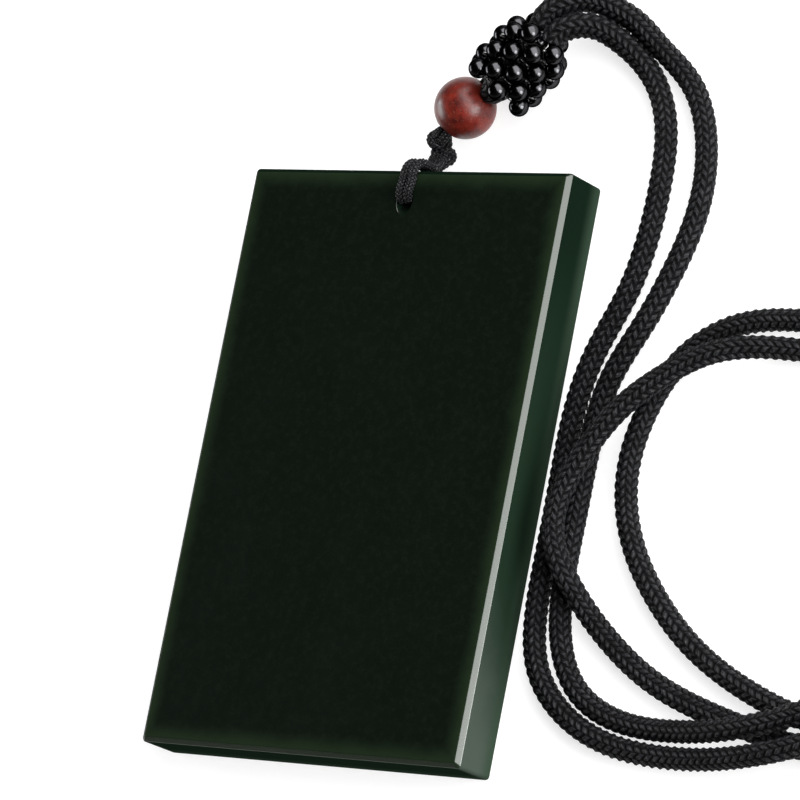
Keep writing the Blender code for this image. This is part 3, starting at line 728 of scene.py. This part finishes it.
def add_camera():
    """The scene's camera, at its place."""
    view = bpy.data.cameras.new("camera")
    view.lens, view.sensor_width = CAMERA_LENS, CAMERA_SENSOR
    view.clip_start, view.clip_end = 0.01, 10.0
    camera = bpy.data.objects.new("camera", view)
    bpy.context.scene.collection.objects.link(camera)
    right = CAMERA_AHEAD.cross(CAMERA_ABOVE)
    turn = Matrix((right, CAMERA_ABOVE, -CAMERA_AHEAD)).transposed().to_4x4()
    camera.matrix_world = Matrix.Translation(CAMERA_PLACE) @ turn
    bpy.context.scene.camera = camera


def add_surface(look):
    """The flat surface that the pendant lies on."""
    mesh = bpy.data.meshes.new("surface")
    corners = [
        (FLOOR_REACH * x, FLOOR_REACH * y, 0.0) for x, y in ((-1, -1), (1, -1), (1, 1), (-1, 1))
    ]
    mesh.from_pydata(corners, [], [(0, 1, 2, 3)])
    floor = new_object("surface", mesh, floor_material(look))
    floor.location.z = -FLOOR_DROP


def add_sky(look):
    """A soft sky, white near the horizon and dark overhead."""
    world = bpy.data.worlds.new("studio")
    world.use_nodes = True
    bpy.context.scene.world = world
    tree = world.node_tree
    sky = tree.nodes["Background"]
    sky.inputs["Strength"].default_value = look.sky
    ways = tree.nodes.new("ShaderNodeTexCoord")
    split = tree.nodes.new("ShaderNodeSeparateXYZ")
    fade = tree.nodes.new("ShaderNodeValToRGB")
    horizon, overhead = fade.color_ramp.elements
    horizon.position, horizon.color = SKY_WHITE_BELOW, rgba((1.0, 1.0, 1.0))
    overhead.position, overhead.color = SKY_DARK_ABOVE, rgba(SKY_DARK)
    tree.links.new(ways.outputs["Generated"], split.inputs[0])
    tree.links.new(split.outputs[2], fade.inputs[0])
    tree.links.new(fade.outputs[0], sky.inputs["Color"])


class PENDANT_OT_stage(bpy.types.Operator):
    """Add the pale surface, the soft lights and the camera"""
    bl_idname = "pendant.stage"
    bl_label = "Stage"

    def execute(self, context):
        look = context.scene.pendant.stage
        add_camera()
        add_surface(look)
        for name, place, target, size, power in SOFTBOXES:
            add_softbox(name, place, target, size, getattr(look, power))
        add_sky(look)
        context.scene.view_settings.view_transform = "Standard"
        return {"FINISHED"}


# Neck cord


class PENDANT_OT_neck_cord(bpy.types.Operator):
    """Braid the long neck cord along its loops"""
    bl_idname = "pendant.neck_cord"
    bl_label = "Neck cord"

    def execute(self, context):
        size = context.scene.pendant.neck_cord
        look = context.scene.pendant.braid
        _, run = even_points(NECK_CORD_ROUTE, size.row)
        end = run[-1]
        reach = [0.0, size.full, size.slim, end - size.slim, end - size.full, end]
        widths = [size.swelling, size.swelling, 1.0, 1.0, size.swelling, size.swelling]
        mesh, path = braided_tube(
            "neck_cord_braid", NECK_CORD_ROUTE, size.diameter + 2.0 * size.crown, size.row,
            size.columns, size.depth, lowest=0.5 * size.diameter, scale=(reach, widths),
        )
        cord = new_object(
            "neck_cord_braid", mesh,
            braid_material("black_braided_cord", look, look.painted_glint, yarns=4.0, bump=0.035 * MM),
        )
        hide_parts("neck_cord")
        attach(cord, "root")
        return {"FINISHED"}


# Bail cord

# Stringing hole, from its mouth in the front face down to where it leaves the top end
HOLE_FROM_TOP = 3.25 * MM
HOLE_OFFSET_X = 0.1 * MM
HOLE_MOUTH = Vector((HOLE_OFFSET_X, TABLET_HIGH.y - HOLE_FROM_TOP, TABLET_HIGH.z))
HOLE_SLANT = math.radians(39.0)
HOLE_WAY = Vector((0.0, math.cos(HOLE_SLANT), -math.sin(HOLE_SLANT)))
HOLE_LENGTH = HOLE_FROM_TOP / math.cos(HOLE_SLANT)

# Knots beyond the tablet's top end, each with its centre and its turn and lean in degrees
TABLET_TOP = Vector((0.0, TABLET_HIGH.y, 0.0))
LOWER_KNOT = TABLET_TOP + Vector((0.51, 2.70, 1.43)) * MM
UPPER_KNOT = TABLET_TOP + Vector((0.51, 4.18, 2.40)) * MM
KNOTS = ((LOWER_KNOT, 12.0, 36.0), (UPPER_KNOT, 68.0, 40.0))
KNOT_LEAN_AXIS = (0.316, 0.949, 0.0)
KNOT_LOBE = 0.315 * MM
KNOT_RISE = 0.45 * MM
KNOT_STEPS = 60

# Loop over the top edge: its gap to the jade and how far it leans to the right there
CORD_CLEARANCE = 0.12 * MM
LOOP_LEAN = 0.7 * MM

# Strands from the upper knot into the wooden bead: their way aside, how far below the bore's
# mouth they bend, and two places inside the bore
STEM_ASIDE = 0.40 * MM
STEM_BEND = 0.45 * MM
STEM_IN_BORE = (1.2 * MM, 2.6 * MM)


def knot_route(centre, turn, lean):
    """The three crossing lobes of a small overhand knot, turned and leaned about its centre."""
    spin = Matrix.Rotation(math.radians(lean), 3, KNOT_LEAN_AXIS)
    spin = spin @ Matrix.Rotation(math.radians(turn), 3, "Z")
    route = []
    for k in range(KNOT_STEPS + 1):
        a = math.tau * k / KNOT_STEPS
        wide = KNOT_LOBE * (2.0 + math.cos(3.0 * a))
        place = Vector((
            wide * math.cos(2.0 * a), wide * math.sin(2.0 * a), KNOT_RISE * math.sin(3.0 * a),
        ))
        route.append(tuple(centre + spin @ place))
    return route


def loop_run(half, radius):
    """One strand of the doubled loop: up from the lower knot, over the tablet's top edge, down
    its front face, back through the hole and out to the knot again. half is its way aside."""
    aside = Vector((half, 0.0, 0.0))
    top, face = TABLET_HIGH.y, TABLET_HIGH.z + radius + CORD_CLEARANCE
    in_hole = HOLE_MOUTH + 0.8 * aside
    leave = HOLE_MOUTH + HOLE_WAY * (HOLE_LENGTH + 2.4 * radius)
    return [
        LOWER_KNOT + aside + Vector((0.0, -0.8, 1.6)) * radius,
        aside + Vector((LOOP_LEAN + 0.4 * radius, top + 1.5 * radius, 0.62 * face)),
        aside + Vector((LOOP_LEAN, top + 1.3 * radius, face - 1.1 * radius)),
        aside + Vector((LOOP_LEAN - 0.3 * radius, top - 0.4 * radius, face + 0.1 * radius)),
        aside + Vector((HOLE_OFFSET_X + 0.7 * radius, top - 2.8 * radius, face)),
        aside + Vector((HOLE_OFFSET_X + 0.4 * radius, HOLE_MOUTH.y + 2.2 * radius, face)),
        in_hole + Vector((0.0, 0.3, 0.1)) * radius,
        in_hole + HOLE_WAY * 0.42 * HOLE_LENGTH,
        in_hole + HOLE_WAY * HOLE_LENGTH,
        leave + 0.95 * aside,
        LOWER_KNOT + aside + Vector((0.0, -1.6, 0.2)) * radius,
    ]


def stem_run(aside):
    """One of the two strands from the upper knot into the wooden bead's bore."""
    entry = WOOD_CENTRE - WOOD_BORE_WAY * WOOD_CENTRE.z
    bend = UPPER_KNOT.lerp(entry, 0.6) - WOOD_BORE_WAY * STEM_BEND
    inside = [entry + aside + WOOD_BORE_WAY * depth for depth in STEM_IN_BORE]
    return [UPPER_KNOT + 0.8 * aside, bend + aside, entry + aside, *inside]


class PENDANT_OT_bail_cord(bpy.types.Operator):
    """Braid the doubled thin cord, its knots and its way into the wooden bead"""
    bl_idname = "pendant.bail_cord"
    bl_label = "Bail cord"

    def execute(self, context):
        size = context.scene.pendant.bail_cord
        look = context.scene.pendant.braid
        material = braid_material(
            "black_thin_cord", look, size.painted_glint, yarns=2.0, bump=0.012 * MM,
        )
        across = WOOD_BORE_WAY.cross(UP).normalized()
        sides = (-1.0, 1.0)
        half = size.spread * size.diameter
        runs = [loop_run(side * half, 0.5 * size.diameter) for side in sides]
        runs += [stem_run(across * side * STEM_ASIDE) for side in sides]
        pieces = []
        for i, run in enumerate(runs):
            mesh, _ = braided_tube(
                f"bail_run_{i}", [tuple(p) for p in run], size.diameter, size.row,
                size.columns, size.depth, lowest=0.5 * size.diameter,
            )
            pieces.append(mesh)
        for centre, turn, lean in KNOTS:
            mesh, _ = braided_tube(
                "knot", knot_route(centre, turn, lean), size.diameter, size.row, size.columns,
                size.depth, lowest=0.5 * size.diameter, closed=True,
            )
            pieces.append(mesh)
        bail = join_meshes("bail_braid", pieces, material)
        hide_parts("bail_cord")
        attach(bail, "root")
        return {"FINISHED"}


def join_meshes(name, meshes, material):
    """One object that holds several meshes, each in its own place."""
    form = bmesh.new()
    for mesh in meshes:
        form.from_mesh(mesh)
        bpy.data.meshes.remove(mesh)
    whole = bpy.data.meshes.new(name)
    form.to_mesh(whole)
    form.free()
    whole.shade_smooth()
    return new_object(name, whole, material)


# Beads


class PENDANT_OT_wooden_bead(bpy.types.Operator):
    """Turn the wooden bead"""
    bl_idname = "pendant.wooden_bead"
    bl_label = "Wooden bead"

    def execute(self, context):
        look = context.scene.pendant.wood_bead
        radius = WOOD_CENTRE.z
        profile = bead_profile(radius, 0.5 * look.bore, arc_steps=40, lip=0.12 * MM)
        mesh = turned_mesh("wooden_bead_turned", profile, sides=72)
        mesh.transform(
            Matrix.Translation(WOOD_CENTRE)
            @ WOOD_BORE_WAY.to_track_quat("Z", "Y").to_matrix().to_4x4()
        )
        bead = new_object("wooden_bead_turned", mesh, wood_material(look))
        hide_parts("wooden_bead")
        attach(bead, "root")
        return {"FINISHED"}


BEADS_PER_RING = 6
MIDDLE_RINGS = 4


def ring_of(name):
    """The number of the ring that a small bead belongs to."""
    return int(name.split("_")[2])


def small_bead_places():
    """The centre of each small bead, by its name, from the bead's own solid."""
    centres = {}
    for name in sorted(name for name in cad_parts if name.startswith("small_bead_")):
        low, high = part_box(name)
        centres[name] = 0.5 * (Vector(low) + Vector(high))
    return centres


def cluster_middle(centres):
    """The middle of the first rings, which are all full."""
    full = [place for name, place in centres.items() if ring_of(name) <= MIDDLE_RINGS]
    return sum(full, Vector()) / len(full)


class PENDANT_OT_bead_cluster(bpy.types.Operator):
    """Make the small black beads and the thread that weaves them together"""
    bl_idname = "pendant.bead_cluster"
    bl_label = "Bead cluster"

    def execute(self, context):
        look = context.scene.pendant.small_bead
        material = bead_material(look)
        centres = small_bead_places()
        middle = cluster_middle(centres)
        profile = bead_profile(
            0.5 * look.diameter, 0.5 * look.bore, arc_steps=16, lip=0.05 * MM,
        )
        base = turned_mesh("small_bead_turned", profile, sides=28)
        rings = {}
        for name, centre in centres.items():
            offset = centre - middle
            outward = offset - CLUSTER_WAY * offset.dot(CLUSTER_WAY)
            bore_way = CLUSTER_WAY.cross(outward.normalized())
            rings.setdefault(ring_of(name), []).append(tuple(centre))
            mesh = base.copy()
            mesh.transform(
                Matrix.Translation(centre)
                @ bore_way.to_track_quat("Z", "Y").to_matrix().to_4x4()
            )
            bead = new_object(f"{name}_turned", mesh, material)
            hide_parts(name)
            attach(bead, "root")
        bpy.data.meshes.remove(base)
        threads = [
            thread_loop(f"thread_{ring}", loop, 0.5 * look.thread)
            for ring, loop in sorted(rings.items()) if len(loop) == BEADS_PER_RING
        ]
        thread = join_meshes("bead_thread", threads, thread_material())
        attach(thread, "root")
        return {"FINISHED"}


THREAD_SIDES = 8
THREAD_STEPS = 6


def thread_loop(name, loop, radius):
    """A thin closed thread through the points of a loop."""
    corners = np.array(loop + loop[:1])
    places = []
    for a, b in zip(corners[:-1], corners[1:]):
        for t in np.linspace(0.0, 1.0, THREAD_STEPS, endpoint=False):
            places.append(a + (b - a) * t)
    places = np.array(places)
    angle = np.linspace(0.0, math.tau, THREAD_SIDES, endpoint=False)
    side, normal = carried_frames(places, closed=True)
    return grid_mesh(name, places[:, None, :] + rings_round(side, normal, angle) * radius, True)


# Bound joint: its full diameter, its binding, and its stations as a distance in mm and a
# share of the diameter, first from the wooden bead's centre and then from the cluster's end
JOINT_DIAMETER = 3.9 * MM
JOINT_ROW = 0.5 * MM
JOINT_COLUMNS = 14
JOINT_DEPTH = 0.16 * MM
JOINT_SIDES = 56
CLUSTER_HALF = 3.1 * MM
JOINT_IN_WOOD = ((1.1, 0.30), (2.1, 0.32), (3.3, 0.36))
JOINT_BEND = Vector((2.85, 2.75, 0.2)) * MM
JOINT_BEND_WIDTH = 0.42
JOINT_IN_BEADS = ((0.0, 0.60), (0.9, 0.85), (1.8, 1.0), (3.8, 1.0), (5.6, 1.0), (6.4, 0.85))


class PENDANT_OT_cord_joint(bpy.types.Operator):
    """Finish the bound cord ends inside the bead cluster"""
    bl_idname = "pendant.cord_joint"
    bl_label = "Cord joint"

    def execute(self, context):
        look = context.scene.pendant.braid
        start = cluster_middle(small_bead_places()) - CLUSTER_WAY * CLUSTER_HALF
        stations = [
            (WOOD_CENTRE + WOOD_BORE_WAY * along * MM, width) for along, width in JOINT_IN_WOOD
        ]
        stations.append((WOOD_CENTRE + JOINT_BEND, JOINT_BEND_WIDTH))
        stations += [(start + CLUSTER_WAY * along * MM, width) for along, width in JOINT_IN_BEADS]
        route = [tuple(place) for place, _ in stations]
        steps = np.linalg.norm(np.diff(np.array(route), axis=0), axis=1)
        reach = np.concatenate(([0.0], np.cumsum(steps)))
        mesh, _ = braided_tube(
            "cord_joint_bound", route, JOINT_DIAMETER, JOINT_ROW, JOINT_COLUMNS, JOINT_DEPTH,
            sides=JOINT_SIDES, scale=(reach, [width for _, width in stations]),
        )
        joint = new_object(
            "cord_joint_bound", mesh,
            braid_material("black_binding", look, look.painted_glint, yarns=2.0, bump=0.02 * MM),
        )
        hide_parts("neck_cord_joint")
        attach(joint, "root")
        return {"FINISHED"}


# Tablet

# Steps of the rounded edges and corners, the flat rim that each face keeps round its middle
# and the least radius of a corner
FILLET_STEPS = 3
CORNER_STEPS = 6
FACE_RIM = 0.6 * MM
LEAST_CORNER = 0.12 * MM

# Drilling: sides of the drill, the hole's rounded rim, and what counts as a sharp edge
DRILL_SIDES = 48
RIM_ROUNDING = 0.09 * MM
SHARP_ANGLE = math.radians(25.0)
SAME_PLANE = 1e-6

# Parts of a face's normal that tell the flat faces and the bright bevels from the rest
FLAT = 0.9
LEANS_UP = 0.6
LEANS_OUT = 0.3


def filleted(profile, radius):
    """A chain of (inset, height) corners with each inner corner rounded off."""
    points = [profile[0]]
    for before, corner, after in zip(profile, profile[1:], profile[2:]):
        before, corner, after = (np.array(p) for p in (before, corner, after))
        start = corner + (before - corner) / np.linalg.norm(before - corner) * radius
        end = corner + (after - corner) / np.linalg.norm(after - corner) * radius
        for t in np.linspace(0.0, 1.0, FILLET_STEPS + 1):
            points.append((1 - t) ** 2 * start + 2 * t * (1 - t) * corner + t ** 2 * end)
    points.append(profile[-1])
    return [tuple(p) for p in points]


def rounded_outline(half_x, half_y, radius):
    """Corners of a rounded rectangle, the same count for any size."""
    outline = []
    for cx, cy, start in ((1, 1, 0.0), (-1, 1, 90.0), (-1, -1, 180.0), (1, -1, 270.0)):
        for k in range(CORNER_STEPS + 1):
            a = math.radians(start + 90.0 * k / CORNER_STEPS)
            outline.append((
                cx * (half_x - radius) + radius * math.cos(a),
                cy * (half_y - radius) + radius * math.sin(a),
            ))
    return outline


def plain_slab(look):
    """The tablet before it is drilled: a rounded slab with a chamfer round each face."""
    chain = filleted([
        (look.back_chamfer + FACE_RIM, 0.0),
        (look.back_chamfer, 0.0),
        (0.0, look.back_chamfer),
        (0.0, THICKNESS - look.front_chamfer),
        (look.front_chamfer, THICKNESS),
        (look.front_chamfer + FACE_RIM, THICKNESS),
    ], look.softening)
    loops = []
    for inset, height in chain:
        radius = max(look.corner - 0.5 * inset, LEAST_CORNER)
        outline = rounded_outline(HALF_WIDTH - inset, HALF_LENGTH - inset, radius)
        loops.append([(x, y, height) for x, y in outline])
    return grid_mesh("jade_tablet_polished", np.array(loops))


def hole_drill(diameter):
    """A cylinder along the stringing hole, which runs out of the jade at both ends."""
    mesh = bpy.data.meshes.new("drill")
    form = bmesh.new()
    bmesh.ops.create_cone(
        form, cap_ends=True, segments=DRILL_SIDES, radius1=0.5 * diameter,
        radius2=0.5 * diameter, depth=2.0 * HOLE_LENGTH,
    )
    form.to_mesh(mesh)
    form.free()
    drill = new_object("drill", mesh)
    drill.matrix_world = (
        Matrix.Translation(HOLE_MOUTH + HOLE_WAY * 0.5 * HOLE_LENGTH)
        @ HOLE_WAY.to_track_quat("Z", "X").to_matrix().to_4x4()
    )
    return drill


def drill_hole(context, tablet, diameter):
    """Cut the stringing hole into the tablet, and give back the tablet's new mesh."""
    drill = hole_drill(diameter)
    cut = tablet.modifiers.new("Hole", "BOOLEAN")
    cut.operation = "DIFFERENCE"
    cut.solver = "EXACT"
    cut.object = drill
    context.view_layer.update()
    graph = context.evaluated_depsgraph_get()
    tablet_mesh = bpy.data.meshes.new_from_object(tablet.evaluated_get(graph))
    tablet.modifiers.clear()
    tablet.data = tablet_mesh
    bpy.data.objects.remove(drill, do_unlink=True)
    return tablet_mesh


# The tablet's finishes, in the order of its materials
FACE_FINISH, BEVEL_FINISH, GROUND_FINISH = range(3)


def finish_for(normal):
    """Which finish a face has: the two faces are polished, the front chamfer is a bright
    bevel at the right and the lower edge, and the rest is ground."""
    across, along, up = normal
    if abs(up) > FLAT:
        return FACE_FINISH
    if up > LEANS_UP and (across > LEANS_OUT or along < -LEANS_OUT):
        return BEVEL_FINISH
    return GROUND_FINISH


class PENDANT_OT_jade_tablet(bpy.types.Operator):
    """Cut and polish the jade tablet"""
    bl_idname = "pendant.jade_tablet"
    bl_label = "Jade tablet"

    def execute(self, context):
        look = context.scene.pendant.tablet
        tablet = new_object(
            "jade_tablet_polished", plain_slab(look),
            jade_material("dark_green_jade", look, look.roughness, 0.06),
            jade_material("bevelled_green_jade", look, look.bevel_roughness, 0.55),
            jade_material("ground_green_jade", look, look.side_roughness, 0.0, ground=True),
        )
        mesh = drill_hole(context, tablet, look.hole)
        soften_hole_rim(mesh, look.hole)
        for face in mesh.polygons:
            face.material_index = finish_for(face.normal)
        even = tablet.modifiers.new("Even shading", "WEIGHTED_NORMAL")
        even.keep_sharp = True
        even.weight = 80
        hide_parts("jade_tablet")
        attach(tablet, "root")
        return {"FINISHED"}


def soften_hole_rim(mesh, diameter):
    """Round off the hole's rim in the front face and in the top end."""
    form = bmesh.new()
    form.from_mesh(mesh)
    form.normal_update()
    rim = []
    for edge in form.edges:
        if len(edge.link_faces) != 2:
            continue
        middle = (edge.verts[0].co + edge.verts[1].co) / 2.0
        near = (middle - HOLE_MOUTH).length < 2.0 * diameter
        near_end = (middle - HOLE_MOUTH - HOLE_WAY * HOLE_LENGTH).length < 1.6 * diameter
        on_front = abs(middle.z - THICKNESS) < SAME_PLANE and near
        on_end = abs(middle.y - TABLET_HIGH.y) < SAME_PLANE and near_end
        if (on_front or on_end) and edge.calc_face_angle(0.0) > SHARP_ANGLE:
            rim.append(edge)
    bmesh.ops.bevel(
        form, geom=rim, offset=RIM_ROUNDING, offset_type="OFFSET", segments=3, profile=0.6,
        affect="EDGES", clamp_overlap=True,
    )
    form.to_mesh(mesh)
    form.free()
    mesh.shade_smooth()


# Add-on


class PENDANT_PT_panel(bpy.types.Panel):
    """Settings of the pendant and the buttons that build it"""
    bl_idname = "PENDANT_PT_panel"
    bl_label = "Jade pendant"
    bl_space_type = "VIEW_3D"
    bl_region_type = "UI"
    bl_category = "Pendant"

    def draw(self, context):
        settings = context.scene.pendant
        groups = (
            ("pendant.stage", (settings.stage,)),
            ("pendant.neck_cord", (settings.neck_cord, settings.braid)),
            ("pendant.bail_cord", (settings.bail_cord,)),
            ("pendant.wooden_bead", (settings.wood_bead,)),
            ("pendant.bead_cluster", (settings.small_bead,)),
            ("pendant.cord_joint", ()),
            ("pendant.jade_tablet", (settings.tablet,)),
        )
        for operator, looks in groups:
            box = self.layout.box()
            box.operator(operator)
            for look in looks:
                for name in type(look).__annotations__:
                    box.prop(look, name)


CLASSES = (
    TabletLook, BraidLook, NeckCordSize, BailCordSize, WoodBeadLook, SmallBeadLook, StageLook,
    PendantSettings, PENDANT_OT_stage, PENDANT_OT_neck_cord, PENDANT_OT_bail_cord,
    PENDANT_OT_wooden_bead, PENDANT_OT_bead_cluster, PENDANT_OT_cord_joint,
    PENDANT_OT_jade_tablet, PENDANT_PT_panel,
)


def register():
    for cls in CLASSES:
        bpy.utils.register_class(cls)
    bpy.types.Scene.pendant = PointerProperty(type=PendantSettings)


def unregister():
    del bpy.types.Scene.pendant
    for cls in reversed(CLASSES):
        bpy.utils.unregister_class(cls)


def main():
    register()
    bpy.ops.pendant.stage()
    bpy.ops.pendant.neck_cord()
    bpy.ops.pendant.bail_cord()
    bpy.ops.pendant.wooden_bead()
    bpy.ops.pendant.bead_cluster()
    bpy.ops.pendant.cord_joint()
    bpy.ops.pendant.jade_tablet()


if __name__ == "__main__":
    main()
